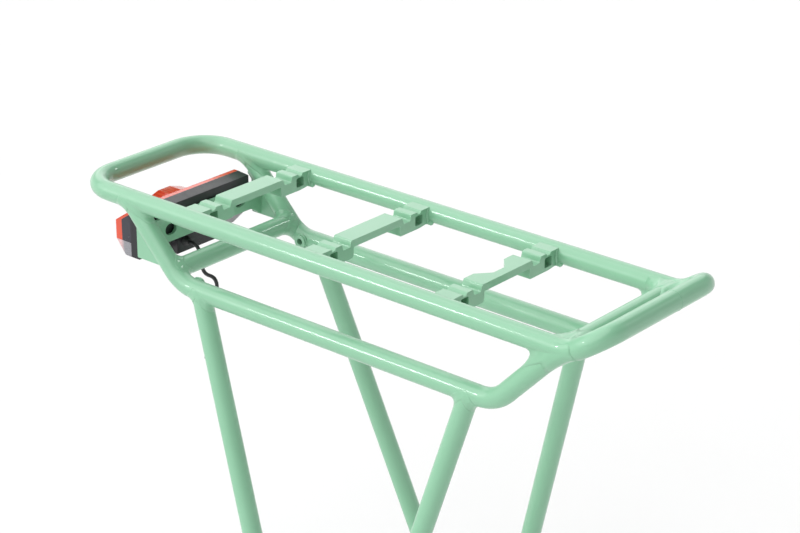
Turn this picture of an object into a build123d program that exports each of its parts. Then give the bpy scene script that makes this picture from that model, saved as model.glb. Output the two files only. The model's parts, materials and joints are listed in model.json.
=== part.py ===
"""Rear rack for a bicycle: a welded tube frame with extruded crossbars and a bolted-on rear light.

Millimetres. +X points to the front of the bicycle, +Y to its left side, +Z up.
The origin is midway between the two foot bolt holes.
"""
from build123d import *
import math
import os

os.makedirs("parts", exist_ok=True)

# how far cutters reach past the metal, and a size larger than the light in every direction
OVER = 1.0
FAR = 100.0

# ---------------------------------------------------------------- driving dimensions
# tubes
TUBE_R = 7.0
TUBE_WALL = 2.0
BORE_R = TUBE_R - TUBE_WALL
VENT_R = 2.0
VENT_X = (-206.0, 170.0)

# deck loop, on its centreline
RAIL_Y = 60.0
DECK_Z = 415.0
REAR_BAR_X = -254.0
REAR_CORNER_R = 27.0
KICK_X = 179.0
KICK_R = 28.0
FRONT_BAR_X = 202.0
FRONT_BAR_Z = 430.5
FRONT_CORNER_R = 17.0

# cross tubes
FRONT_CROSS_X = 174.0
REAR_CROSS_X = -164.5
REAR_CROSS_Z = 371.5

# side rails, on their centreline
SIDE_REAR_TOP_X = -206.0
SIDE_REAR_LOW_X = -156.0
SIDE_FRONT_LOW_X = 122.5
SIDE_FRONT_TOP_X = 172.0
SIDE_Z = 363.0
SIDE_BEND_R = 29.0

# legs: where their centrelines leave the side rails, and how they slope on the way down
REAR_LEG_X = -138.0
FRONT_LEG_X = 102.0
LEG_SPREAD = 0.0987
REAR_LEG_SLOPE = 0.3698
FRONT_LEG_SLOPE = -0.273
LEG_END_Z = 30.0
SLOT_TOP_Z = 62.0

# foot plates
FOOT_PLATE_T = 5.0
LUG_R = 11.0
LUG_T = 8.0
FOOT_HOLE_R = 3.2
FOOT_Y = RAIL_Y + LEG_SPREAD * SIDE_Z
PRONG_HALF = 8.0
PRONG_LOW_Z = 20.0
PRONG_FORK_Z = 28.0

# crossbars, measured from the deck plane
BAR_DEPTH = 15.5
BAR_FRONT_X = {"rear": -139.0, "middle": -27.5, "front": 84.0}
BAR_TOP = 5.8
LIP_TOP = 5.5
GROOVE_Z = 1.2
SLAB_UNDER = 0.6
BLOCK_BOTTOM = -7.1
BLOCK_INNER_Y = 24.0
PLATEAU_Y = 26.2
GROOVE_IN_Y = 27.8
GROOVE_OUT_Y = 34.6
LIP_IN_Y = 35.8
LIP_OUT_Y = 41.6
NOTCH_IN_Y = 43.0
NOTCH_OUT_Y = 45.4
PAD_IN_Y = 46.6
NOTCH_Z = 3.7
CHAMBER_Y = (40.2, 48.0)
CHAMBER_Z = (-4.5, 2.6)
CHAMBER_R = 1.2
SLOPE_Y = 44.0
SLOPE_END_Z = -5.4
LATCH_DEPTH = 8.5
LATCH_OUTER = 16.0
LATCH_INNER = 6.0
LATCH_FLARE = 6.0

# light bracket
SHEET_T = 2.5
WEB_FRONT_X = -191.5
WEB_TOP_Z = 398.0
WEB_BOTTOM_Z = 378.7
WEB_BEND_Y = 47.0
WEB_BEND_R = 7.0
CHEEK_IN_Y = 57.5
CHEEK_OUT_Y = 60.0
CHEEK_REAR_X = -201.0
CHEEK_FRONT_X = -170.0
CHEEK_TOP_Z = 409.0
CHEEK_BOTTOM_Z = 371.3
CHEEK_CORNER_R = 5.0
SLOT_Y = 35.5
SLOT_Z = 388.0
SLOT_R = 4.3
SLOT_LENGTH = 11.0

# threaded bosses on the inner faces of the side rails
BOSS_X = -147.0
BOSS_R = 5.0
BOSS_INNER_Y = 51.0
BOSS_OUTER_Y = 56.0
BOSS_THREAD_R = 2.5

# rear light, side view
LIGHT_HALF = 48.0
LIGHT_SHELL = 2.0
GASKET_T = 0.8
LIGHT_BACK_X = WEB_FRONT_X - SHEET_T - GASKET_T
LIGHT_REAR_X = -235.6
LENS_FRONT_X = -229.6
BAND_FRONT_X = -220.5
LIGHT_TOP_Z = 405.3
LIGHT_TOP_DROP = 1.0
LIGHT_RIDGE_X = -205.5
LIGHT_STRIP_X = -209.5
LIGHT_LENS_TOP_Z = 387.6
LIGHT_CHIN_Z = 373.0
LIGHT_CHIN_X = -226.5
LIGHT_BOTTOM_Z = 362.2
LIGHT_RISE_X = -212.0
LIGHT_FRONT_LOW_Z = 379.5

# rear light, raised middle of the lens and block under the housing
HUMP_REAR_X = -234.6
HUMP_FRONT_X = -219.0
HUMP_FOOT_Z = 384.0
HUMP_SECTION = [(27.0, 390.0, 1.5), (16.0, 395.0, 3.0), (6.0, 398.0, 3.0)]
BLOCK_X = (-214.0, -201.0)
BLOCK_HALF = 21.0
BLOCK_Z = (361.2, 374.0)

# rear light, fasteners and board
STUD_Y = 12.0
STUD_R = 2.5
STUD_SOCKET_R = 5.0
STUD_DEPTH = 8.0
STUD_REACH = 9.0
NUT_AF = 8.0
NUT_T = 4.0
WASHER_R = 5.0
WASHER_T = 1.0
GASKET_HALF = 30.0
GASKET_Z = (381.7, 396.0)
BOARD_X = -216.0
BOARD_T = 1.6
BOARD_TOP_Z = 386.0
LED_COUNT = 6
LED_PITCH = 13.0
LED_SIZE = 3.5
LED_T = 1.2
LED_Z = 379.75

# lead of the rear light, with its grommet and plug
GROMMET_X = BLOCK_X[1]
GROMMET_Y = -12.0
GROMMET_Z = 369.0
GROMMET_R = 3.8
GROMMET_NECK_R = 3.0
GROMMET_NECK_LENGTH = 3.0
LEAD_HOLE_DEPTH = 10.0
GROMMET_LENGTH = 4.0
CABLE_R = 1.4
GROMMET_TIP_R = CABLE_R + 0.8
CABLE_ROUTE = [
    (GROMMET_X + GROMMET_LENGTH, GROMMET_Y, GROMMET_Z),
    (-192.0, GROMMET_Y, GROMMET_Z),
    (-188.8, -11.0, 365.5),
    (-189.6, -8.5, 356.0),
    (-189.5, -6.5, 344.2),
    (-179.3, -4.5, 343.6),
    (-178.3, -3.5, 333.5),
    (-184.0, -3.0, 322.0),
    (-189.0, -2.0, 309.0),
    (-190.0, -2.0, 291.0),
]
CONNECTOR_R = 3.6
CONNECTOR_LENGTH = 17.0
SOCKET_WALL = 1.0
SOCKET_DEPTH = 6.0
PIN_Y = 1.2
PIN_R = 0.5
PIN_LENGTH = 5.0


# ---------------------------------------------------------------- helpers
def along(path, radius):
    """Round bar of the given radius along a path."""
    profile = Plane(origin=path @ 0, z_dir=path % 0) * Circle(radius)
    return sweep(profile, path=path)


def side_rail_path(side):
    """Centreline of one lower rail; side is +1 on the left and -1 on the right."""
    y = side * RAIL_Y
    points = [
        (SIDE_REAR_TOP_X, y, DECK_Z),
        (SIDE_REAR_LOW_X, y, SIDE_Z),
        (SIDE_FRONT_LOW_X, y, SIDE_Z),
        (SIDE_FRONT_TOP_X, y, DECK_Z),
    ]
    return FilletPolyline(*points, radius=SIDE_BEND_R)


def hoop_half_path():
    """Centreline of the left half of the deck loop, from the rear bar to the front bar."""
    points = [
        (REAR_BAR_X, 0, DECK_Z),
        (REAR_BAR_X, RAIL_Y, DECK_Z),
        (KICK_X, RAIL_Y, DECK_Z),
        (FRONT_BAR_X, RAIL_Y, FRONT_BAR_Z),
        (FRONT_BAR_X, 0, FRONT_BAR_Z),
    ]
    return FilletPolyline(*points, radius=[REAR_CORNER_R, KICK_R, FRONT_CORNER_R])


def hoop_bar(radius):
    """Closed loop of round bar along the deck centreline."""
    half = along(hoop_half_path(), radius)
    return half + mirror(half, about=Plane.XZ)


def leg_point(front, side, z):
    """Point on a leg's centreline at height z."""
    x_top = FRONT_LEG_X if front else REAR_LEG_X
    slope = FRONT_LEG_SLOPE if front else REAR_LEG_SLOPE
    drop = SIDE_Z - z
    return Vector(x_top + slope * drop, side * (RAIL_Y + LEG_SPREAD * drop), z)


def foot_plane(side):
    """Plane that holds both leg centrelines of one side, with its origin at the foot bolt's height."""
    normal = Vector(0, -1, -side * LEG_SPREAD)
    return Plane(origin=(0, side * FOOT_Y, 0), x_dir=(1, 0, 0), z_dir=normal)


def fillet_outline(corners):
    """Closed outline through (u, v, corner radius) triples."""
    points = [(u, v) for u, v, _ in corners]
    radii = [r for _, _, r in corners]
    return make_face(FilletPolyline(*points, radius=radii[1:] + radii[:1], close=True))


def slab_x(outline, x_low, x_high):
    """Extrude an outline drawn as (y, z) from x_low to x_high."""
    face = Plane(origin=(x_low, 0, 0), x_dir=(0, 1, 0), z_dir=(1, 0, 0)) * outline
    return extrude(face, amount=x_high - x_low, dir=(1, 0, 0))


def slab_y(outline, y_low, y_high):
    """Extrude an outline drawn as (x, z) from y_low to y_high."""
    face = Plane(origin=(0, y_low, 0), x_dir=(1, 0, 0), z_dir=(0, -1, 0)) * outline
    return extrude(face, amount=y_high - y_low, dir=(0, 1, 0))


def block(x_range, y_range, z_range):
    """Box between two corners."""
    size = [high - low for low, high in (x_range, y_range, z_range)]
    centre = [(high + low) / 2 for low, high in (x_range, y_range, z_range)]
    return Pos(*centre) * Box(*size)


def drum(start, end, radius):
    """Cylinder between two points."""
    axis = Vector(*end) - Vector(*start)
    face = Plane(origin=start, z_dir=axis) * Circle(radius)
    return extrude(face, amount=axis.length)


# ---------------------------------------------------------------- welded tubes
HOOP_BAR = hoop_bar(TUBE_R)
SIDE_BARS = {side: along(side_rail_path(side), TUBE_R) for side in (1, -1)}


def deck_hoop():
    """Deck loop, with a vent hole into each side rail's end so that no tube is sealed."""
    shell = HOOP_BAR - hoop_bar(BORE_R)
    for side in (1, -1):
        for x in VENT_X:
            low = (x, side * RAIL_Y, DECK_Z - TUBE_R - OVER)
            shell -= drum(low, (x, side * RAIL_Y, DECK_Z), VENT_R)
    return shell


def boss_drum(side, radius):
    """Cylinder along the axis of one boss."""
    inner = (BOSS_X, side * BOSS_INNER_Y, SIDE_Z)
    outer = (BOSS_X, side * BOSS_OUTER_Y, SIDE_Z)
    return drum(inner, outer, radius)


def side_rail(side):
    """Lower rail, coped to the deck loop at both ends and drilled for its boss."""
    tube = SIDE_BARS[side] - along(side_rail_path(side), BORE_R) - HOOP_BAR
    return tube - boss_drum(side, BOSS_R)


def front_cross_tube():
    """Straight tube between the deck rails, behind the kicked-up front bar."""
    ends = [(FRONT_CROSS_X, y, DECK_Z) for y in (-RAIL_Y, RAIL_Y)]
    tube = drum(*ends, TUBE_R) - drum(*ends, BORE_R)
    return tube - HOOP_BAR - SIDE_BARS[1] - SIDE_BARS[-1]


def rear_lower_cross_tube():
    """Straight tube between the two side rails, at their rear bends."""
    ends = [(REAR_CROSS_X, y, REAR_CROSS_Z) for y in (-RAIL_Y, RAIL_Y)]
    tube = drum(*ends, TUBE_R) - drum(*ends, BORE_R)
    return tube - SIDE_BARS[1] - SIDE_BARS[-1]


def foot_plate(side):
    """Plate with two prongs that slide into the slotted leg ends, and a thicker lug for the bolt."""
    prongs = []
    for front in (False, True):
        low = leg_point(front, side, PRONG_LOW_Z)
        high = leg_point(front, side, SLOT_TOP_Z)
        prongs.append((low.X, high.X))
    (rear_low, rear_high), (front_low, front_high) = prongs
    rear_fork = leg_point(False, side, PRONG_FORK_Z).X + PRONG_HALF
    front_fork = leg_point(True, side, PRONG_FORK_Z).X - PRONG_HALF
    plane = foot_plane(side)
    outline = Polyline(
        (rear_low - PRONG_HALF, PRONG_LOW_Z),
        (rear_high - PRONG_HALF, SLOT_TOP_Z),
        (rear_high + PRONG_HALF, SLOT_TOP_Z),
        (rear_fork, PRONG_FORK_Z),
        (front_fork, PRONG_FORK_Z),
        (front_high - PRONG_HALF, SLOT_TOP_Z),
        (front_high + PRONG_HALF, SLOT_TOP_Z),
        (front_low + PRONG_HALF, PRONG_LOW_Z),
        (LUG_R, 0),
        (-LUG_R, 0),
        close=True,
    )
    plate = extrude(plane * make_face(outline), amount=FOOT_PLATE_T / 2, both=True)
    half_lug = LUG_T / 2
    lug = drum((0, side * FOOT_Y - half_lug, 0), (0, side * FOOT_Y + half_lug, 0), LUG_R)
    hole = drum((0, side * FOOT_Y - LUG_T, 0), (0, side * FOOT_Y + LUG_T, 0), FOOT_HOLE_R)
    return plate + lug - hole


def leg(front, side, plate):
    """Leg tube, coped to the side rail at the top and slotted for the foot plate at the bottom."""
    ends = (leg_point(front, side, SIDE_Z), leg_point(front, side, LEG_END_Z))
    tube = drum(*[tuple(p) for p in ends], TUBE_R) - drum(*[tuple(p) for p in ends], BORE_R)
    return tube - SIDE_BARS[side] - plate


# ---------------------------------------------------------------- crossbars, bracket, bosses
def crossbar_outline():
    """Section across the bicycle: plateau, groove, lip, small notch and end pad on each side."""
    half = [
        (PLATEAU_Y, BAR_TOP, 1.2),
        (GROOVE_IN_Y, GROOVE_Z, 0.9),
        (GROOVE_OUT_Y, GROOVE_Z, 0.9),
        (LIP_IN_Y, LIP_TOP, 1.3),
        (LIP_OUT_Y, LIP_TOP, 1.0),
        (NOTCH_IN_Y, NOTCH_Z, 0.5),
        (NOTCH_OUT_Y, NOTCH_Z, 0.5),
        (PAD_IN_Y, LIP_TOP, 0.7),
        (RAIL_Y, LIP_TOP, 0.2),
        (RAIL_Y, SLOPE_END_Z, 0.2),
        (SLOPE_Y, BLOCK_BOTTOM, 3.0),
        (BLOCK_INNER_Y, BLOCK_BOTTOM, 0.8),
        (BLOCK_INNER_Y, SLAB_UNDER, 0.8),
    ]
    mirrored = [(-y, z, r) for y, z, r in reversed(half)]
    return fillet_outline(half + mirrored)


def crossbar(front_x, latch):
    """Extruded bar across the deck, coped to the rails; latch cuts the notch in its rear edge."""
    section = crossbar_outline()
    chamber_y = sum(CHAMBER_Y) / 2
    chamber_z = sum(CHAMBER_Z) / 2
    width = CHAMBER_Y[1] - CHAMBER_Y[0]
    height = CHAMBER_Z[1] - CHAMBER_Z[0]
    for side in (1, -1):
        section -= Pos(side * chamber_y, chamber_z) * RectangleRounded(width, height, CHAMBER_R)
    rear_x = front_x - BAR_DEPTH
    bar = Pos(0, 0, DECK_Z) * slab_x(section, rear_x, front_x)
    if latch:
        corners = [
            (rear_x - LATCH_FLARE, -LATCH_OUTER - LATCH_FLARE, 0.5),
            (rear_x, -LATCH_OUTER, 3.0),
            (rear_x + LATCH_DEPTH, -LATCH_INNER, 3.0),
            (rear_x + LATCH_DEPTH, LATCH_INNER, 3.0),
            (rear_x, LATCH_OUTER, 3.0),
            (rear_x - LATCH_FLARE, LATCH_OUTER + LATCH_FLARE, 0.5),
        ]
        bar -= extrude(Pos(0, 0, DECK_Z) * fillet_outline(corners), amount=FAR)
    for side in (1, -1):
        bar -= drum((rear_x - OVER, side * RAIL_Y, DECK_Z), (front_x + OVER, side * RAIL_Y, DECK_Z), TUBE_R)
    return bar


def bracket_slot(y):
    """Slot through the bracket web, long across the bicycle."""
    outline = Pos(y, SLOT_Z) * SlotOverall(SLOT_LENGTH, 2 * SLOT_R)
    return slab_x(outline, WEB_FRONT_X - 2 * SHEET_T, WEB_FRONT_X + SHEET_T)


def light_bracket():
    """Folded sheet: a web across the bicycle and a cheek at each end, welded to the rails."""
    half = [
        (CHEEK_OUT_Y - OVER, WEB_TOP_Z, 0.5),
        (CHEEK_OUT_Y - OVER, CHEEK_BOTTOM_Z + OVER, 0.5),
        (CHEEK_IN_Y - OVER, CHEEK_BOTTOM_Z + OVER, 1.0),
        (WEB_BEND_Y, WEB_BOTTOM_Z, WEB_BEND_R),
    ]
    mirrored = [(-y, z, r) for y, z, r in reversed(half)]
    bracket = slab_x(fillet_outline(half + mirrored), WEB_FRONT_X - SHEET_T, WEB_FRONT_X)
    cheek_outline = fillet_outline([
        (CHEEK_REAR_X, CHEEK_TOP_Z, 1.0),
        (CHEEK_FRONT_X, CHEEK_TOP_Z, 1.0),
        (CHEEK_FRONT_X, CHEEK_BOTTOM_Z, 1.0),
        (CHEEK_REAR_X, CHEEK_BOTTOM_Z, CHEEK_CORNER_R),
    ])
    bracket += slab_y(cheek_outline, CHEEK_IN_Y, CHEEK_OUT_Y)
    bracket += slab_y(cheek_outline, -CHEEK_OUT_Y, -CHEEK_IN_Y)
    for y in (-SLOT_Y, SLOT_Y):
        bracket -= bracket_slot(y)
    for y in (-STUD_Y, STUD_Y):
        bracket -= stud_hole(y, WEB_FRONT_X - 2 * SHEET_T, STUD_R)
    welded = bracket - SIDE_BARS[1] - SIDE_BARS[-1] - HOOP_BAR
    return welded.solids().sort_by(SortBy.VOLUME)[-1]


def boss(side):
    """Threaded insert through the inner wall of a side rail."""
    return boss_drum(side, BOSS_R) - boss_drum(side, BOSS_THREAD_R)


# ---------------------------------------------------------------- rear light
def light_outline():
    """Side view of the closed light."""
    return fillet_outline([
        (LIGHT_BACK_X, LIGHT_TOP_Z - LIGHT_TOP_DROP, 1.0),
        (LIGHT_RIDGE_X, LIGHT_TOP_Z, 0.6),
        (LIGHT_STRIP_X, LIGHT_TOP_Z, 1.2),
        (LIGHT_REAR_X, LIGHT_LENS_TOP_Z, 1.5),
        (LIGHT_REAR_X, LIGHT_CHIN_Z, 1.5),
        (LIGHT_CHIN_X, LIGHT_BOTTOM_Z, 2.0),
        (LIGHT_RISE_X, LIGHT_BOTTOM_Z, 2.0),
        (LIGHT_BACK_X, LIGHT_FRONT_LOW_Z, 1.5),
    ])


def hump(shrink):
    """Raised middle of the lens, drawn smaller by shrink for its inside."""
    half = [(y - shrink, z - shrink, r) for y, z, r in HUMP_SECTION]
    foot_y = HUMP_SECTION[0][0] - shrink
    right = [(-y, z, r) for y, z, r in half]
    feet = [(-foot_y, HUMP_FOOT_Z, 0.5), (foot_y, HUMP_FOOT_Z, 0.5)]
    outline = fillet_outline(feet[:1] + right + half[::-1] + feet[1:])
    return slab_x(outline, HUMP_REAR_X + shrink, HUMP_FRONT_X - shrink)


def top_layer():
    """Layer across the light under its sloping rear top face, as thick as the shell."""
    start = Vector(LIGHT_STRIP_X, LIGHT_TOP_Z)
    run = Vector(LIGHT_REAR_X, LIGHT_LENS_TOP_Z) - start
    normal = Vector(-run.Y, run.X).normalized() * LIGHT_SHELL
    first = start - run * 0.5
    last = start + run * 1.5
    corners = [first + normal, last + normal, last - normal, first - normal]
    outline = make_face(Polyline(*[(p.X, p.Y) for p in corners], close=True))
    return slab_y(outline, -LIGHT_HALF, LIGHT_HALF)



def between_x(x_low, x_high):
    """Everything of the light between two planes across the bicycle's length."""
    return block((x_low, x_high), (-FAR, FAR), (SIDE_Z - FAR, SIDE_Z + FAR))


LIGHT_SOLID = slab_y(light_outline(), -LIGHT_HALF, LIGHT_HALF)
LIGHT_CAVITY = slab_y(
    offset(light_outline(), amount=-LIGHT_SHELL),
    -LIGHT_HALF + LIGHT_SHELL,
    LIGHT_HALF - LIGHT_SHELL,
)
REFLECTOR_REGION = block(
    (LIGHT_REAR_X - OVER, BAND_FRONT_X),
    (-FAR, FAR),
    (LIGHT_CHIN_Z - FAR, LIGHT_CHIN_Z),
)
STRIP_REGION = block(
    (LIGHT_STRIP_X - LIGHT_SHELL, LIGHT_RIDGE_X),
    (-FAR, FAR),
    (LIGHT_TOP_Z - LIGHT_SHELL, LIGHT_TOP_Z + OVER),
)
TOP_REGION = (top_layer() + STRIP_REGION) & between_x(LENS_FRONT_X - OVER, LIGHT_RIDGE_X)
LENS_REGION = between_x(LIGHT_REAR_X - OVER, LENS_FRONT_X) + TOP_REGION
LENS_OUTER = (LIGHT_SOLID & LENS_REGION) - REFLECTOR_REGION


def stud_hole(y, x_back, radius):
    """Hole for one stud, from x_back forward."""
    return drum((x_back, y, SLOT_Z), (WEB_FRONT_X + STUD_REACH, y, SLOT_Z), radius)


def light_lens():
    """Red shell over the rear and top of the light, with its raised middle."""
    return LENS_OUTER + hump(0) - LIGHT_CAVITY - hump(LIGHT_SHELL)


def light_reflector():
    """Clear shell under the lens and the band, down to the underside."""
    return (LIGHT_SOLID & REFLECTOR_REGION) - LIGHT_CAVITY


def light_body_band():
    """Two smoky side windows between the lens and the back housing."""
    band = LIGHT_SOLID & between_x(LENS_FRONT_X, BAND_FRONT_X)
    return band - LIGHT_CAVITY - REFLECTOR_REGION - LENS_OUTER


def light_housing():
    """Back housing with a solid wall against the bracket, drilled for the studs and the lead."""
    shell = (LIGHT_SOLID & between_x(BAND_FRONT_X, 0)) - LENS_OUTER
    shell += block(BLOCK_X, (-BLOCK_HALF, BLOCK_HALF), BLOCK_Z)
    shell -= LIGHT_CAVITY
    for y in (-STUD_Y, STUD_Y):
        socket = (LIGHT_BACK_X - STUD_DEPTH - OVER, y, SLOT_Z)
        shell += drum(socket, (LIGHT_BACK_X - OVER, y, SLOT_Z), STUD_SOCKET_R)
        shell -= stud_hole(y, LIGHT_BACK_X - STUD_DEPTH, STUD_R)
    exit_back = (GROMMET_X - LEAD_HOLE_DEPTH, GROMMET_Y, GROMMET_Z)
    exit_front = (GROMMET_X + OVER, GROMMET_Y, GROMMET_Z)
    return shell - drum(exit_back, exit_front, GROMMET_NECK_R)


def light_gasket():
    """Foam pad between the light and the bracket web."""
    x_range = (LIGHT_BACK_X, LIGHT_BACK_X + GASKET_T)
    pad = block(x_range, (-GASKET_HALF, GASKET_HALF), GASKET_Z)
    for y in (-STUD_Y, STUD_Y):
        pad -= stud_hole(y, LIGHT_BACK_X - OVER, STUD_R)
    return pad


def light_circuit_board():
    """Board that stands across the housing, on its floor."""
    space = block((BOARD_X, BOARD_X + BOARD_T), (-FAR, FAR), (LIGHT_BOTTOM_Z - OVER, BOARD_TOP_Z))
    return LIGHT_CAVITY & space


def light_leds():
    """Row of light sources on the rear face of the board."""
    first = -LED_PITCH * (LED_COUNT - 1) / 2
    half = LED_SIZE / 2
    chips = []
    for index in range(LED_COUNT):
        y = first + index * LED_PITCH
        chip = block((BOARD_X - LED_T, BOARD_X), (y - half, y + half), (LED_Z - half, LED_Z + half))
        chips.append(chip)
    return Compound(children=chips)


def light_studs():
    """Two threaded studs moulded into the housing."""
    ends = (LIGHT_BACK_X - STUD_DEPTH, WEB_FRONT_X + STUD_REACH)
    studs = [drum((ends[0], y, SLOT_Z), (ends[1], y, SLOT_Z), STUD_R) for y in (-STUD_Y, STUD_Y)]
    return Compound(children=studs)


def light_washers():
    """Flat washers on the front face of the web."""
    rings = []
    for y in (-STUD_Y, STUD_Y):
        ring = drum((WEB_FRONT_X, y, SLOT_Z), (WEB_FRONT_X + WASHER_T, y, SLOT_Z), WASHER_R)
        rings.append(ring - stud_hole(y, WEB_FRONT_X - OVER, STUD_R))
    return Compound(children=rings)


def light_nuts():
    """Hexagon nuts on the washers."""
    nuts = []
    hexagon = RegularPolygon(NUT_AF / 2, 6, major_radius=False)
    for y in (-STUD_Y, STUD_Y):
        low = WEB_FRONT_X + WASHER_T
        nut = slab_x(Pos(y, SLOT_Z) * hexagon, low, low + NUT_T)
        nuts.append(nut - stud_hole(y, low - OVER, STUD_R))
    return Compound(children=nuts)


# ---------------------------------------------------------------- lead of the rear light
ON_FACE = (Align.CENTER, Align.CENTER, Align.MIN)


def cable_radii(route):
    """Arc radius at each inner point: as large as its two runs allow."""
    radii = []
    for before, here, after in zip(route, route[1:], route[2:]):
        first = Vector(*here) - Vector(*before)
        second = Vector(*after) - Vector(*here)
        turn = math.radians(first.get_angle(second))
        radii.append(0.45 * min(first.length, second.length) / math.tan(turn / 2))
    return radii


CABLE_RADII = cable_radii(CABLE_ROUTE)
CABLE_PATH = FilletPolyline(*CABLE_ROUTE, radius=CABLE_RADII)


def light_cable():
    """Two-core lead, from the grommet to its plug."""
    cable = along(CABLE_PATH, CABLE_R)
    expected = math.pi * CABLE_R**2 * CABLE_PATH.length
    print("cable radii", [round(r, 1) for r in CABLE_RADII])
    print(f"cable length {CABLE_PATH.length:.1f} volume {cable.volume:.1f} of {expected:.1f}")
    return cable


def light_grommet():
    """Strain relief: a neck in the housing and a taper round the lead."""
    face = Plane(origin=(GROMMET_X, GROMMET_Y, GROMMET_Z), z_dir=(1, 0, 0))
    neck = Cylinder(GROMMET_NECK_R, GROMMET_NECK_LENGTH, align=ON_FACE)
    neck = face * Pos(0, 0, -GROMMET_NECK_LENGTH) * neck
    taper = face * Cone(GROMMET_R, GROMMET_TIP_R, GROMMET_LENGTH, align=ON_FACE)
    return neck + taper


def connector_plane():
    """Plane at the end of the lead, looking on along it."""
    return Plane(origin=CABLE_PATH @ 1, z_dir=CABLE_PATH % 1)


def cable_connector():
    """Plug body with a socket in its far end."""
    body = connector_plane() * Cylinder(CONNECTOR_R, CONNECTOR_LENGTH, align=ON_FACE)
    mouth = Cylinder(CONNECTOR_R - SOCKET_WALL, SOCKET_DEPTH + OVER, align=ON_FACE)
    return body - connector_plane() * Pos(0, 0, CONNECTOR_LENGTH - SOCKET_DEPTH) * mouth


def connector_pins():
    """Two contact pins in the plug's socket."""
    pins = []
    for y in (-PIN_Y, PIN_Y):
        pin = Pos(0, y, CONNECTOR_LENGTH - SOCKET_DEPTH) * Cylinder(PIN_R, PIN_LENGTH, align=ON_FACE)
        pins.append(connector_plane() * pin)
    return Compound(children=pins)


# ---------------------------------------------------------------- write the parts
NODES = {
    "deck_hoop": deck_hoop(),
    "front_cross_tube": front_cross_tube(),
    "rear_lower_cross_tube": rear_lower_cross_tube(),
    "light_bracket": light_bracket(),
    "light_lens": light_lens(),
    "light_body_band": light_body_band(),
    "light_reflector": light_reflector(),
    "light_housing": light_housing(),
    "light_gasket": light_gasket(),
    "light_circuit_board": light_circuit_board(),
    "light_leds": light_leds(),
    "light_studs": light_studs(),
    "light_washers": light_washers(),
    "light_nuts": light_nuts(),
    "light_grommet": light_grommet(),
    "light_cable": light_cable(),
    "cable_connector": cable_connector(),
    "connector_pins": connector_pins(),
}
for name, front_x in BAR_FRONT_X.items():
    NODES[f"{name}_crossbar"] = crossbar(front_x, latch=name == "front")
for name, side in (("left", 1), ("right", -1)):
    plate = foot_plate(side)
    NODES[f"{name}_side_rail"] = side_rail(side)
    NODES[f"{name}_foot_plate"] = plate
    NODES[f"{name}_rear_leg"] = leg(False, side, plate)
    NODES[f"{name}_front_leg"] = leg(True, side, plate)
    NODES[f"{name}_boss"] = boss(side)

for name, shape in NODES.items():
    export_step(shape, f"parts/{name}.step")
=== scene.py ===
"""Looks of the rear rack: green frame with weld fillets, rear light, lead, floor and light."""
import json
import math

import bmesh
import bpy
import numpy as np
from mathutils import Matrix, Vector


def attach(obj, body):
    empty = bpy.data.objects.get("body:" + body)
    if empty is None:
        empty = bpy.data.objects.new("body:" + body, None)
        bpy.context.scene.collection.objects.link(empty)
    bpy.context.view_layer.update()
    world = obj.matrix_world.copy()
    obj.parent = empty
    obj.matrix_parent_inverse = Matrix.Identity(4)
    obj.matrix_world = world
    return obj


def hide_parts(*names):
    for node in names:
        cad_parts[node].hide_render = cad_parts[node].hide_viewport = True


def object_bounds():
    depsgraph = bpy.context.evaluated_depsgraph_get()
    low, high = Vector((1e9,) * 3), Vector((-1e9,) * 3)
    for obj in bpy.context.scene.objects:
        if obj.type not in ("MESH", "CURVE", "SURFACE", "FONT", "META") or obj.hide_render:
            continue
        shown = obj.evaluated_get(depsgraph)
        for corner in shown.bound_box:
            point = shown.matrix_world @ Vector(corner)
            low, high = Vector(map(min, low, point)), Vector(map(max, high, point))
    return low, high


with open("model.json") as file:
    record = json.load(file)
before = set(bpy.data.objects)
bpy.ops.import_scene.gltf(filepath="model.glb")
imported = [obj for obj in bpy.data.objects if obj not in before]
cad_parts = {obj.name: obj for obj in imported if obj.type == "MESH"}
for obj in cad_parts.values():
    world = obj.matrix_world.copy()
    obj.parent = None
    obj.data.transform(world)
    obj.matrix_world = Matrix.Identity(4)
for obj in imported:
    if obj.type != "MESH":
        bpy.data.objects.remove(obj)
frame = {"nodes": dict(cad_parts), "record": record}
CAD_BOX = [list(corner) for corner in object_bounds()]

MM = 0.001
ROOT = "root"


# ---------------------------------------------------------------- camera
CAMERA_AIM = Vector((-0.0286, 0.0254, 0.385))
CAMERA_DISTANCE = 1.5444
CAMERA_AZIMUTH = math.radians(40.17)
CAMERA_ELEVATION = math.radians(23.25)
CAMERA_ROLL = math.radians(0.34)
CAMERA_LENS = 100.56
SENSOR_WIDTH = 36.0
CAMERA_REACH = 50.0


def make_camera():
    """Long-lens camera in front, to the right and above, looking back and to the left."""
    a, e, r = CAMERA_AZIMUTH, CAMERA_ELEVATION, CAMERA_ROLL
    forward = Vector((-math.sin(a) * math.cos(e), math.cos(a) * math.cos(e), -math.sin(e)))
    level = Vector((math.cos(a), math.sin(a), 0.0))
    above = level.cross(forward)
    right = math.cos(r) * level + math.sin(r) * above
    up = -math.sin(r) * level + math.cos(r) * above
    data = bpy.data.cameras.new("camera")
    data.lens = CAMERA_LENS
    data.sensor_width = SENSOR_WIDTH
    data.clip_end = CAMERA_REACH
    camera = bpy.data.objects.new("camera", data)
    bpy.context.scene.collection.objects.link(camera)
    turn = Matrix((right, up, -forward)).transposed().to_4x4()
    camera.matrix_world = Matrix.Translation(CAMERA_AIM - forward * CAMERA_DISTANCE) @ turn
    bpy.context.scene.camera = camera


make_camera()


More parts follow.
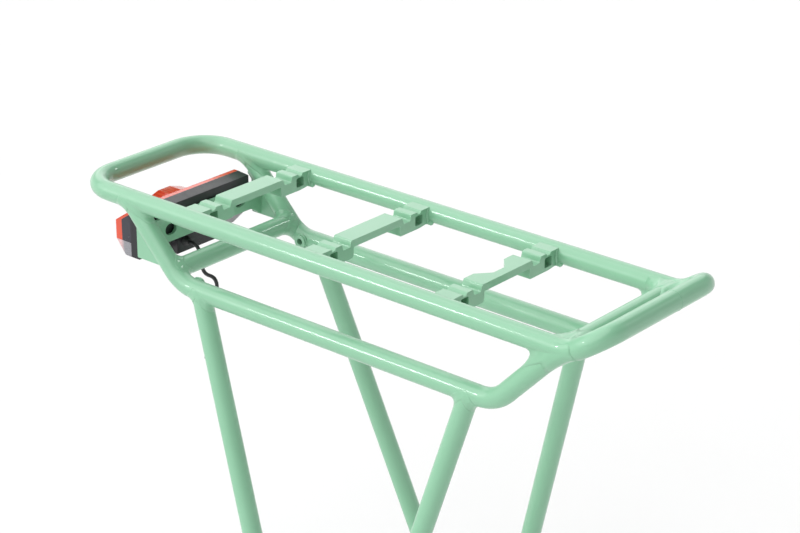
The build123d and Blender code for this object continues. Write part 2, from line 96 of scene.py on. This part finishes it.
# ---------------------------------------------------------------- materials
class Shading:
    """Node material with short calls for procedural detail."""

    def __init__(self, name):
        self.material = bpy.data.materials.new(name)
        self.material.use_nodes = True
        self.tree = self.material.node_tree
        self.shader = self.tree.nodes["Principled BSDF"]
        self.place = self.tree.nodes.new("ShaderNodeTexCoord").outputs["Object"]

    def value(self, **settings):
        """Set uniform values on the shader's own sockets."""
        for key, setting in settings.items():
            self.shader.inputs[key.replace("_", " ")].default_value = setting

    def node(self, kind, **settings):
        """New node of the given kind with its settings."""
        made = self.tree.nodes.new(kind)
        for key, setting in settings.items():
            setattr(made, key, setting)
        return made

    def link(self, output, node_input):
        """Join one node's output to another's input."""
        self.tree.links.new(output, node_input)

    def noise(self, scale, detail=3.0, roughness=0.5):
        """Noise value over the object, with its scale in cells per metre."""
        texture = self.node("ShaderNodeTexNoise")
        texture.inputs["Scale"].default_value = scale
        texture.inputs["Detail"].default_value = detail
        texture.inputs["Roughness"].default_value = roughness
        self.link(self.place, texture.inputs["Vector"])
        return texture.outputs["Fac"]

    def remap(self, source, low, high, start=0.3, end=0.7):
        """Noise between start and end becomes a value between low and high."""
        ramp = self.node("ShaderNodeMapRange")
        ramp.inputs["From Min"].default_value = start
        ramp.inputs["From Max"].default_value = end
        ramp.inputs["To Min"].default_value = low
        ramp.inputs["To Max"].default_value = high
        self.link(source, ramp.inputs["Value"])
        return ramp.outputs["Result"]

    def vary_color(self, color, other, source, start=0.3, end=0.7):
        """Base colour that runs between two colours with a noise."""
        mix = self.node("ShaderNodeMix", data_type="RGBA")
        mix.inputs["A"].default_value = (*color, 1.0)
        mix.inputs["B"].default_value = (*other, 1.0)
        self.link(self.remap(source, 0.0, 1.0, start, end), mix.inputs["Factor"])
        self.link(mix.outputs["Result"], self.shader.inputs["Base Color"])

    def vary_roughness(self, low, high, source):
        """Roughness that runs between two values with a noise."""
        self.link(self.remap(source, low, high), self.shader.inputs["Roughness"])

    def bump(self, source, height, strength=1.0, before=None):
        """Relief of the given height in metres, after an earlier relief if there is one."""
        relief = self.node("ShaderNodeBump")
        relief.inputs["Strength"].default_value = strength
        relief.inputs["Distance"].default_value = height
        self.link(source, relief.inputs["Height"])
        if before is not None:
            self.link(before, relief.inputs["Normal"])
        self.link(relief.outputs["Normal"], self.shader.inputs["Normal"])
        return relief.outputs["Normal"]

    def waves(self, axis, pitch):
        """Straight ridges across one axis, pitch apart in metres."""
        wave = self.node(
            "ShaderNodeTexWave", wave_type="BANDS", bands_direction=axis, wave_profile="TRI"
        )
        wave.inputs["Scale"].default_value = math.pi / (10.0 * pitch)
        self.link(self.place, wave.inputs["Vector"])
        return wave.outputs["Fac"]


PAINT_COLOR = (0.214, 0.468, 0.292)
PAINT_SHIFT = (0.234, 0.490, 0.316)


def paint_material():
    """Gloss enamel: pastel green under a clear coat, with orange peel and a little tone shift."""
    s = Shading("green_paint")
    s.vary_color(PAINT_COLOR, PAINT_SHIFT, s.noise(9.0, 4.0))
    s.vary_roughness(0.34, 0.42, s.noise(40.0, 3.0))
    s.value(Coat_Weight=0.55, Coat_Roughness=0.06, Specular_IOR_Level=0.45)
    peel = s.bump(s.noise(420.0, 2.0), 0.00006, 0.35)
    s.bump(s.noise(2600.0, 1.0), 0.00001, 0.3, peel)
    return s.material


def plastic_material(name, color, shift, roughness, grain, coat):
    """Moulded plastic with a fine grain and faint handling marks."""
    s = Shading(name)
    s.vary_color(color, shift, s.noise(60.0, 5.0))
    s.vary_roughness(roughness - 0.07, roughness + 0.09, s.noise(150.0, 5.0))
    s.value(Coat_Weight=coat, Coat_Roughness=0.12, Specular_IOR_Level=0.35)
    s.bump(s.noise(3500.0, 2.0), grain, 0.5)
    return s.material


ACRYLIC_IOR = 1.49
RIB_PITCH = 0.0036
STEP_PITCH = 0.0048
PRISM_PITCH = 0.0022


def lens_material():
    """Red clear plastic with upright ribs that break up the light."""
    s = Shading("red_lens")
    s.vary_color((0.74, 0.036, 0.012), (0.82, 0.080, 0.022), s.waves("Y", RIB_PITCH))
    s.value(Roughness=0.12, Transmission_Weight=0.22, IOR=ACRYLIC_IOR)
    s.value(Coat_Weight=0.5, Coat_Roughness=0.05)
    # Faint red emission: a painted glow, since the light behind the lens is off.
    s.value(Emission_Color=(0.9, 0.05, 0.01, 1.0), Emission_Strength=0.02)
    ribs = s.bump(s.waves("Y", RIB_PITCH), 0.0004, 0.14)
    s.bump(s.waves("Z", STEP_PITCH), 0.0003, 0.10, ribs)
    return s.material


# X range over which the painted pink glow from the red lens gives way to the reflector's grey.
PAINTED_GLOW_TO_GREY_X = (-0.2310, -0.2275)  # metres


def reflector_material():
    """Clear reflector: rows of small prisms, with a painted pink glow where the red lens shines
    through, grey further forward.
    """
    s = Shading("clear_reflector")
    axes = s.node("ShaderNodeSeparateXYZ")
    s.link(s.place, axes.inputs["Vector"])
    # Pink at the rear end is painted red light from the lens; the grey is the reflector's own
    # colour.
    s.vary_color((0.86, 0.55, 0.56), (0.30, 0.30, 0.33), axes.outputs["X"], *PAINTED_GLOW_TO_GREY_X)
    s.value(Roughness=0.16, Transmission_Weight=0.2, IOR=ACRYLIC_IOR)
    s.value(Coat_Weight=0.6, Coat_Roughness=0.04)
    rows = s.bump(s.waves("Y", PRISM_PITCH), 0.0006, 0.6)
    s.bump(s.waves("Z", PRISM_PITCH), 0.0006, 0.6, rows)
    return s.material


def board_material():
    """Circuit board: solder mask with copper tracks showing through."""
    s = Shading("circuit_board")
    tracks = s.node("ShaderNodeTexBrick")
    tracks.inputs["Scale"].default_value = 260.0
    tracks.inputs["Mortar Size"].default_value = 0.06
    tracks.inputs["Color1"].default_value = (0.02, 0.14, 0.05, 1.0)
    tracks.inputs["Color2"].default_value = (0.03, 0.18, 0.07, 1.0)
    tracks.inputs["Mortar"].default_value = (0.10, 0.30, 0.12, 1.0)
    s.link(s.place, tracks.inputs["Vector"])
    s.link(tracks.outputs["Color"], s.shader.inputs["Base Color"])
    s.vary_roughness(0.3, 0.45, s.noise(300.0))
    return s.material


def led_material():
    """Pale resin over a light source, off."""
    s = Shading("led")
    s.vary_color((0.95, 0.88, 0.60), (0.90, 0.80, 0.45), s.noise(500.0))
    s.value(Roughness=0.2, Coat_Weight=0.6)
    return s.material


def metal_material(name, color, shift, roughness):
    """Plated metal with fine turning marks."""
    s = Shading(name)
    s.vary_color(color, shift, s.noise(220.0, 6.0))
    s.vary_roughness(roughness - 0.08, roughness + 0.12, s.noise(400.0, 4.0))
    s.value(Metallic=1.0)
    s.bump(s.noise(2400.0, 3.0), 0.00004, 0.4)
    return s.material


def rubber_material(name, color, roughness):
    """Rubber or foam with a soft, dusty surface."""
    s = Shading(name)
    lighter = tuple(channel * 1.7 for channel in color)
    s.vary_color(color, lighter, s.noise(180.0, 6.0))
    s.vary_roughness(roughness - 0.1, roughness + 0.08, s.noise(300.0, 4.0))
    s.bump(s.noise(1800.0, 3.0), 0.00008, 0.5)
    return s.material


def floor_material():
    """Matt white studio floor."""
    s = Shading("floor")
    s.vary_color((0.80, 0.80, 0.80), (0.82, 0.82, 0.82), s.noise(2.0))
    s.value(Roughness=0.9, Specular_IOR_Level=0.1)
    return s.material


MATERIALS = {
    "green_paint": paint_material(),
    "black_plastic": plastic_material(
        "black_plastic",
        color=(0.007, 0.007, 0.010),
        shift=(0.011, 0.011, 0.015),
        roughness=0.34,
        grain=4e-5,
        coat=0.25,
    ),
    "smoky_plastic": plastic_material(
        "smoky_plastic",
        color=(0.022, 0.022, 0.034),
        shift=(0.030, 0.030, 0.042),
        roughness=0.2,
        grain=1e-5,
        coat=0.3,
    ),
    "red_lens": lens_material(),
    "clear_reflector": reflector_material(),
    "black_foam": rubber_material("black_foam", (0.022, 0.022, 0.022), 0.88),
    "circuit_board": board_material(),
    "led": led_material(),
    "zinc_steel": metal_material("zinc_steel", (0.62, 0.62, 0.64), (0.50, 0.50, 0.53), 0.32),
    "black_rubber": rubber_material("black_rubber", (0.020, 0.020, 0.021), 0.62),
    "cable_jacket": rubber_material("cable_jacket", (0.014, 0.014, 0.016), 0.45),
    "brass": metal_material("brass", (0.78, 0.60, 0.30), (0.70, 0.52, 0.24), 0.3),
}
for entry in frame["record"]["subparts"]:
    mesh = frame["nodes"][entry["node"]].data
    mesh.materials.clear()
    mesh.materials.append(MATERIALS[entry["material_slot"]])


# ---------------------------------------------------------------- mesh helpers
def add_piece(name, points_mm, faces, slot):
    """Smooth mesh from points in millimetres; it rides on the rack, in its slot's material."""
    mesh = bpy.data.meshes.new(name)
    mesh.from_pydata([Vector(p) * MM for p in points_mm], [], faces)
    mesh.validate()
    build = bmesh.new()
    build.from_mesh(mesh)
    bmesh.ops.recalc_face_normals(build, faces=build.faces)
    build.to_mesh(mesh)
    build.free()
    for polygon in mesh.polygons:
        polygon.use_smooth = True
    mesh.materials.append(MATERIALS[slot])
    piece = bpy.data.objects.new(name, mesh)
    bpy.context.scene.collection.objects.link(piece)
    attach(piece, ROOT)


def unit(vector):
    """Vector scaled to length one."""
    return vector / np.linalg.norm(vector)


def square_to(axis, aside):
    """Two unit vectors square to a unit axis and each other; aside is any way off the axis."""
    u = unit(np.cross(axis, aside))
    return u, np.cross(axis, u)


def circle(centre, u, w, radius, sides):
    """Points round a centre in the plane of two unit vectors."""
    angles = np.arange(sides) * 2 * math.pi / sides
    return [centre + radius * (math.cos(a) * u + math.sin(a) * w) for a in angles]


def loft(rings, closed):
    """Faces through rings of equal length; closed joins the last ring to the first."""
    count = len(rings[0])
    faces = []
    last = len(rings) if closed else len(rings) - 1
    for i in range(last):
        j = (i + 1) % len(rings)
        for a in range(count):
            b = (a + 1) % count
            faces.append((i * count + a, i * count + b, j * count + b, j * count + a))
    if not closed:
        faces.append(tuple(range(count)))
        faces.append(tuple((len(rings) - 1) * count + a for a in reversed(range(count))))
    return [point for ring in rings for point in ring], faces


# ---------------------------------------------------------------- tube centrelines, in millimetres
TUBE_R = 7.0
RAIL_Y = 60.0
DECK_Z = 415.0
REAR_BAR_X = -254.0
KICK_X = 179.0
FRONT_BAR = (202.0, 430.5)
SIDE_Z = 363.0
SIDE_X = (-206.0, -156.0, 122.5, 172.0)
SIDE_BENDS = (29.0, 29.0)
DECK_BENDS = (27.0, 28.0, 17.0)
FRONT_CROSS_X = 174.0
REAR_CROSS = (-164.5, 371.5)
REAR_LEG_X = -138.0
FRONT_LEG_X = 102.0
LEG_SPREAD = 0.0987
REAR_LEG_SLOPE = 0.3698
FRONT_LEG_SLOPE = -0.273
BEND_STEPS = 10


def rounded(points, radii):
    """Polyline with its inner corners turned into arcs."""
    points = [np.array(p, float) for p in points]
    out = [points[0]]
    for before, here, after, radius in zip(points, points[1:], points[2:], radii):
        a = unit(before - here)
        b = unit(after - here)
        half = math.acos(float(np.dot(a, b))) / 2
        reach = radius / math.tan(half)
        centre = here + unit(a + b) * radius / math.sin(half)
        start = here + a * reach - centre
        end = here + b * reach - centre
        sweep = math.pi - 2 * half
        for step in range(BEND_STEPS + 1):
            t = step / BEND_STEPS
            arc = (math.sin((1 - t) * sweep) * start + math.sin(t * sweep) * end) / math.sin(sweep)
            out.append(centre + arc)
    out.append(points[-1])
    return np.array(out)


def side_path(side):
    """Centreline of one lower rail; side is +1 on the left and -1 on the right."""
    y = side * RAIL_Y
    x = SIDE_X
    points = [(x[0], y, DECK_Z), (x[1], y, SIDE_Z), (x[2], y, SIDE_Z), (x[3], y, DECK_Z)]
    return rounded(points, SIDE_BENDS)


def deck_path(side):
    """Centreline of one half of the deck loop."""
    y = side * RAIL_Y
    points = [
        (REAR_BAR_X, 0, DECK_Z),
        (REAR_BAR_X, y, DECK_Z),
        (KICK_X, y, DECK_Z),
        (FRONT_BAR[0], y, FRONT_BAR[1]),
        (FRONT_BAR[0], 0, FRONT_BAR[1]),
    ]
    return rounded(points, DECK_BENDS)


def nearest(points, path):
    """Closest centreline point to each of the given points."""
    start = path[:-1]
    run = path[1:] - start
    offset = points[:, None, :] - start[None]
    t = np.clip((offset * run).sum(-1) / (run * run).sum(-1), 0, 1)
    spot = start[None] + t[..., None] * run
    gap = np.linalg.norm(points[:, None, :] - spot, axis=-1)
    best = gap.argmin(1)
    rows = np.arange(len(points))
    return spot[rows, best], gap[rows, best]


# ---------------------------------------------------------------- welds, in millimetres
WELD_STEPS = 64
WELD_ARC = 6
WELD_SEARCH = np.arange(0, 34, 0.2)  # distances tried along the branch
WELD_LEAN = 0.5  # how far the fillet's foot turns back from the branch
WELD_CROWN = 0.35
WELD_SKIN = 0.03
WELD_RIPPLES = 11
WELD_STRETCH = 0.35  # growth where the tubes meet at a sharp angle
BURY = 0.9  # depth of the hidden side in the tubes


def weld(name, path, origin, direction, on_branch, on_main, ripple=0.10):
    """Concave paint-filled fillet where a round branch meets a bent tube of the same size.

    It reaches on_branch up the branch and on_main along the tube whose centreline is the path.
    """
    origin = np.array(origin, float)
    b = unit(np.array(direction, float))
    u, w = square_to(b, (0.3, 0.1, 0.9))
    rings = []
    for step in range(WELD_STEPS):
        angle = 2 * math.pi * step / WELD_STEPS
        e = math.cos(angle) * u + math.sin(angle) * w
        line = origin + TUBE_R * e + WELD_SEARCH[:, None] * b
        _, gap = nearest(line, path)
        inside = np.nonzero(gap < TUBE_R)[0]
        meet = WELD_SEARCH[inside[-1]] if len(inside) else WELD_SEARCH[gap.argmin()]
        corner = origin + TUBE_R * e + meet * b
        centre, _ = nearest(corner[None], path)
        normal = unit(corner - centre[0])
        away = e - WELD_LEAN * b
        away = unit(away - normal * np.dot(away, normal))
        open_angle = max(0.0, float(np.dot(e, -b) + np.dot(e, normal)))
        size = 1.0 + WELD_STRETCH * (1.0 - min(1.0, open_angle))
        top = corner + b * on_branch * size
        foot = corner + away * on_main
        foot_centre, _ = nearest(foot[None], path)
        foot_normal = unit(foot - foot_centre[0])
        foot = foot_centre[0] + foot_normal * TUBE_R
        out = unit(e + normal)
        crown = WELD_CROWN + ripple * math.sin(angle * WELD_RIPPLES)
        ring = []
        for k in range(WELD_ARC + 1):
            t = k / WELD_ARC
            curve = (1 - t) ** 2 * top + 2 * t * (1 - t) * corner + t * t * foot
            lift = math.sin(math.pi * t) * crown + WELD_SKIN
            ring.append(curve + out * lift)
        ring.append(foot - foot_normal * BURY)
        ring.append(corner - out * BURY)
        ring.append(top - e * BURY)
        rings.append(ring)
    add_piece(name, *loft(rings, True), "green_paint")


BEAD_SIDES = 12
BEAD_SPACING = 0.55
BEAD_LEAST_RINGS = 8
BEAD_END_RINGS = 3.0  # rings over which an end rounds off
BEAD_TIP = 0.02
BEAD_RIPPLE = 0.12
BEAD_PITCH = 1.6


def bead(name, points, radii):
    """Rippled weld bead along a polyline, with a radius at each point."""
    points = np.array(points, float)
    lengths = np.concatenate(([0], np.cumsum(np.linalg.norm(np.diff(points, axis=0), axis=1))))
    count = max(BEAD_LEAST_RINGS, int(lengths[-1] / BEAD_SPACING))
    stations = np.linspace(0, lengths[-1], count)
    line = np.stack([np.interp(stations, lengths, points[:, axis]) for axis in range(3)], axis=1)
    size = np.interp(stations, lengths, radii)
    tangent = np.gradient(line, axis=0)
    tangent /= np.linalg.norm(tangent, axis=1)[:, None]
    rings = []
    for i in range(count):
        u, w = square_to(tangent[i], (0.21, 0.55, 0.81))
        end = min(i, count - 1 - i) / BEAD_END_RINGS
        taper = math.sqrt(max(BEAD_TIP, 1 - (1 - min(1.0, end)) ** 2))
        r = size[i] * taper * (1 + BEAD_RIPPLE * math.sin(2 * math.pi * stations[i] / BEAD_PITCH))
        rings.append(circle(line[i], u, w, r, BEAD_SIDES))
    add_piece(name, *loft(rings, False), "green_paint")


SEAM_STEPS = 72
SEAM_SIDES = 10
SEAM_RIPPLE = 0.1
SEAM_RIPPLES = 18


def seam_ring(name, centre, ring_r, bead_r):
    """Closed thin bead round a bar or a boss that runs across the rack."""
    axis = np.array((0, 1, 0), float)
    u, w = square_to(axis, (0.3, 0.2, 0.9))
    rings = []
    for step in range(SEAM_STEPS):
        angle = 2 * math.pi * step / SEAM_STEPS
        out = math.cos(angle) * u + math.sin(angle) * w
        r = bead_r * (1 + SEAM_RIPPLE * math.sin(angle * SEAM_RIPPLES))
        spot = np.array(centre, float) + out * ring_r
        rings.append(circle(spot, out, axis, r, SEAM_SIDES))
    add_piece(name, *loft(rings, True), "green_paint")


SIDES = {"left": 1, "right": -1}
# How far each fillet reaches along the branch, then along the main tube.
RAIL_REAR_REACH = (6.5, 6.0)
FRONT_REACH = (15.0, 12.0)
LEG_REACH = (4.2, 4.2)
CROSS_REAR_REACH = (4.5, 4.5)


def tube_welds():
    """Fillets at every joint between two tubes."""
    rear_top, rear_low, front_low, front_top = SIDE_X
    drop = SIDE_Z - DECK_Z
    rear = (rear_low - rear_top, 0, drop)
    front = (front_low - front_top, 0, drop)
    for name, side in SIDES.items():
        y = side * RAIL_Y
        deck = deck_path(side)
        rail = side_path(side)
        weld(f"weld_{name}_rail_rear", deck, (rear_top, y, DECK_Z), rear, *RAIL_REAR_REACH)
        weld(f"weld_{name}_rail_front", deck, (front_top, y, DECK_Z), front, *FRONT_REACH)
        rear_leg = (REAR_LEG_SLOPE, side * LEG_SPREAD, -1)
        front_leg = (FRONT_LEG_SLOPE, side * LEG_SPREAD, -1)
        weld(f"weld_{name}_leg_rear", rail, (REAR_LEG_X, y, SIDE_Z), rear_leg, *LEG_REACH)
        weld(f"weld_{name}_leg_front", rail, (FRONT_LEG_X, y, SIDE_Z), front_leg, *LEG_REACH)
        inward = (0, -side, 0)
        rear_cross = (REAR_CROSS[0], y, REAR_CROSS[1])
        front_cross = (FRONT_CROSS_X, y, DECK_Z)
        weld(f"weld_{name}_cross_rear", rail, rear_cross, inward, *CROSS_REAR_REACH, ripple=0.2)
        weld(f"weld_{name}_cross_front", deck, front_cross, inward, *FRONT_REACH, ripple=0.25)


BAR_FRONT_X = {"rear": -139.0, "middle": -27.5, "front": 84.0}
BAR_DEPTH = 15.5
BAR_TOP_Z = 5.2
BAR_LOW_Z = -5.3
SEAM_STATIONS = 12
SEAM_R = 0.9
SEAM_GROWTH = 0.07  # radius gained per millimetre down
SEAM_INSET = 0.2
SEAM_OFF_TUBE = 0.1
TOE_STATIONS = 16
TOE_R = 2.0
TOE_END_R = (1.3, 1.4)
TOE_LENGTH = 4.0
TOE_DROP = 0.2
TOE_OFF_TUBE = 0.4


def bar_welds():
    """Seams up each crossbar's end, and a fuller bead below that runs on past its front face."""
    foot_y = RAIL_Y - math.sqrt(TUBE_R**2 - BAR_LOW_Z**2) - TOE_OFF_TUBE
    foot_z = DECK_Z + BAR_LOW_Z - TOE_DROP
    heights = np.linspace(BAR_TOP_Z, BAR_LOW_Z, SEAM_STATIONS)
    seam_radii = [SEAM_R + SEAM_GROWTH * (BAR_TOP_Z - z) for z in heights]
    toe_radii = [TOE_END_R[0]] + [TOE_R] * (TOE_STATIONS - 2) + [TOE_END_R[1]]
    for bar, front_x in BAR_FRONT_X.items():
        ends = {"front": front_x - SEAM_INSET, "rear": front_x - BAR_DEPTH + SEAM_INSET}
        toe_x = np.linspace(front_x + TOE_LENGTH, front_x - BAR_DEPTH, TOE_STATIONS)
        for name, side in SIDES.items():
            for end, x in ends.items():
                points = []
                for z in heights:
                    y = RAIL_Y - math.sqrt(TUBE_R**2 - z * z) - SEAM_OFF_TUBE
                    points.append((x, side * y, DECK_Z + z))
                bead(f"seam_{bar}_bar_{name}_{end}", points, seam_radii)
            toe = [(x, side * foot_y, foot_z) for x in toe_x]
            bead(f"bead_{bar}_bar_{name}", toe, toe_radii)


CHEEK_FACES = {"in": 57.3, "out": 60.2}
CHEEK_RUN = (10, 50)  # from the rail's top corner, down its slope
CHEEK_STATIONS = 14
CHEEK_R = 1.5
CHEEK_TOP_X = (-200.0, -192.0)
CHEEK_TOP_Y = 57.4
CHEEK_TOP_DROP = 6.5
CHEEK_TOP_STATIONS = 8
CHEEK_TOP_R = 1.2


def bracket_welds():
    """Beads where the bracket's cheeks meet the slanted rails and the deck rails."""
    top_x, low_x = SIDE_X[:2]
    start = np.array((top_x, DECK_Z))
    run = np.array((low_x - top_x, SIDE_Z - DECK_Z)) / math.hypot(low_x - top_x, SIDE_Z - DECK_Z)
    rear = np.array((run[1], -run[0]))
    top_z = DECK_Z - CHEEK_TOP_DROP
    for name, side in SIDES.items():
        for face, y in CHEEK_FACES.items():
            reach = math.sqrt(TUBE_R**2 - (y - RAIL_Y) ** 2)
            points = []
            for distance in np.linspace(*CHEEK_RUN, CHEEK_STATIONS):
                spot = start + run * distance + rear * reach
                points.append((spot[0], side * y, spot[1]))
            bead(f"bead_cheek_{name}_{face}", points, [CHEEK_R] * len(points))
        top_x_stations = np.linspace(*CHEEK_TOP_X, CHEEK_TOP_STATIONS)
        top = [(x, side * CHEEK_TOP_Y, top_z) for x in top_x_stations]
        bead(f"bead_cheek_{name}_top", top, [CHEEK_TOP_R] * len(top))


LEGS = {"rear": (REAR_LEG_SLOPE, REAR_LEG_X), "front": (FRONT_LEG_SLOPE, FRONT_LEG_X)}
# Side of the leg and side of the plate for each of a leg's four beads.
SLOT_EDGES = {"a": (1, 1), "b": (1, -1), "c": (-1, 1), "d": (-1, -1)}
SLOT_Z = (59.0, 31.0)
SLOT_STATIONS = 8
SLOT_ACROSS = 6.35
SLOT_LIFT = 2.7
SLOT_R = 1.1


def leg_middle(slope, start_x, side, z):
    """Point on a leg's centreline at height z."""
    drop = SIDE_Z - z
    return np.array((start_x + slope * drop, side * (RAIL_Y + LEG_SPREAD * drop), z))


def foot_welds():
    """Beads along the slotted leg ends, on both faces of each foot plate."""
    for name, side in SIDES.items():
        face = unit(np.array((0.0, -1.0, -side * LEG_SPREAD)))
        for leg, (slope, start_x) in LEGS.items():
            down = leg_middle(slope, start_x, side, 0.0) - leg_middle(slope, start_x, side, 100.0)
            run = unit(down)
            across = np.cross(run, face)
            for tag, (turn, lift) in SLOT_EDGES.items():
                points = []
                for z in np.linspace(*SLOT_Z, SLOT_STATIONS):
                    spot = leg_middle(slope, start_x, side, z)
                    points.append(spot + across * turn * SLOT_ACROSS + face * lift * SLOT_LIFT)
                bead(f"bead_foot_{name}_{leg}_{tag}", points, [SLOT_R] * len(points))


# Place of each seam, then the radius of its ring and of its bead.
FRONT_SEAM_Y = 14.5
FRONT_SEAM_R = (TUBE_R - 0.2, 0.4)
BOSS_X = -147.0
BOSS_SEAM_Y = 52.9
BOSS_SEAM_R = (5.1, 0.7)

tube_welds()
bar_welds()
bracket_welds()
foot_welds()
seam_ring("seam_front_bar", (FRONT_BAR[0], FRONT_SEAM_Y, FRONT_BAR[1]), *FRONT_SEAM_R)
for boss_name, boss_side in SIDES.items():
    seam_ring(f"seam_boss_{boss_name}", (BOSS_X, boss_side * BOSS_SEAM_Y, SIDE_Z), *BOSS_SEAM_R)


# ---------------------------------------------------------------- lead
CABLE_ROUTE_MM = [
    (-197.0, -12.0, 369.0),
    (-192.0, -12.0, 369.0),
    (-188.8, -11.0, 365.5),
    (-189.6, -8.5, 356.0),
    (-189.5, -6.5, 344.2),
    (-179.3, -4.5, 343.6),
    (-178.3, -3.5, 333.5),
    (-184.0, -3.0, 322.0),
    (-189.0, -2.0, 309.0),
    (-190.0, -2.0, 291.0),
]
CABLE_DIAMETER = 0.0028


def make_cable():
    """Lead of the rear light: one smooth curve that hangs from the grommet to the plug."""
    data = bpy.data.curves.new("lead", "CURVE")
    data.dimensions = "3D"
    spline = data.splines.new("NURBS")
    spline.points.add(len(CABLE_ROUTE_MM) - 1)
    for point, (x, y, z) in zip(spline.points, CABLE_ROUTE_MM):
        point.co = (x * MM, y * MM, z * MM, 1.0)
    spline.order_u = 3
    spline.use_endpoint_u = True
    spline.resolution_u = 8
    data.bevel_depth = CABLE_DIAMETER / 2
    data.bevel_resolution = 6
    data.use_fill_caps = True
    lead = bpy.data.objects.new("lead", data)
    bpy.context.scene.collection.objects.link(lead)
    data.materials.append(MATERIALS["cable_jacket"])
    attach(lead, ROOT)
    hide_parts("light_cable")


make_cable()


# ---------------------------------------------------------------- stage and light
FLOOR_HALF = 12.0
LIGHT_DISTANCE = 3.0
# Direction the light comes from, angle in degrees and strength of each sun.
SUNS = {
    "key": ((-0.30, -0.55, 0.78), 90.0, 3.0),
    "back": ((-0.55, 0.55, 0.63), 60.0, 1.1),
    "spark": ((-0.59, -0.69, 0.41), 7.0, 0.35),
    "glint": ((0.45, 0.70, 0.55), 7.0, 0.20),
}
# Strength of the studio light against how far up a direction points.
STUDIO_FADE = {"From Min": 0.05, "From Max": 0.45, "To Min": 0.88, "To Max": 0.15}


def make_floor():
    """Large floor under the feet; it is not part of the rack."""
    mesh = bpy.data.meshes.new("floor")
    build = bmesh.new()
    bmesh.ops.create_grid(build, x_segments=1, y_segments=1, size=FLOOR_HALF)
    build.to_mesh(mesh)
    build.free()
    floor = bpy.data.objects.new("floor", mesh)
    floor.location.z = CAD_BOX[0][2]
    bpy.context.scene.collection.objects.link(floor)
    mesh.materials.append(floor_material())


def sun_light(name, toward, angle, strength):
    """Even light from the given direction, as soft as its angle."""
    data = bpy.data.lights.new(name, "SUN")
    data.angle = math.radians(angle)
    data.energy = strength
    light = bpy.data.objects.new(name, data)
    bpy.context.scene.collection.objects.link(light)
    light.location = Vector(toward) * LIGHT_DISTANCE
    light.rotation_euler = (-Vector(toward)).to_track_quat("-Z", "Y").to_euler()


def make_light():
    """Two broad suns, two narrow ones for the gloss, and a studio that is dimmer overhead."""
    world = bpy.data.worlds.new("world")
    world.use_nodes = True
    tree = world.node_tree
    place = tree.nodes.new("ShaderNodeTexCoord")
    axes = tree.nodes.new("ShaderNodeSeparateXYZ")
    tree.links.new(place.outputs["Generated"], axes.inputs["Vector"])
    fade = tree.nodes.new("ShaderNodeMapRange")
    tree.links.new(axes.outputs["Z"], fade.inputs["Value"])
    for key, setting in STUDIO_FADE.items():
        fade.inputs[key].default_value = setting
    background = tree.nodes["Background"]
    background.inputs["Color"].default_value = (1.0, 1.0, 1.0, 1.0)
    tree.links.new(fade.outputs["Result"], background.inputs["Strength"])
    bpy.context.scene.world = world
    for name, sun in SUNS.items():
        sun_light(name, *sun)


make_floor()
make_light()
bpy.context.scene.view_settings.view_transform = "Standard"
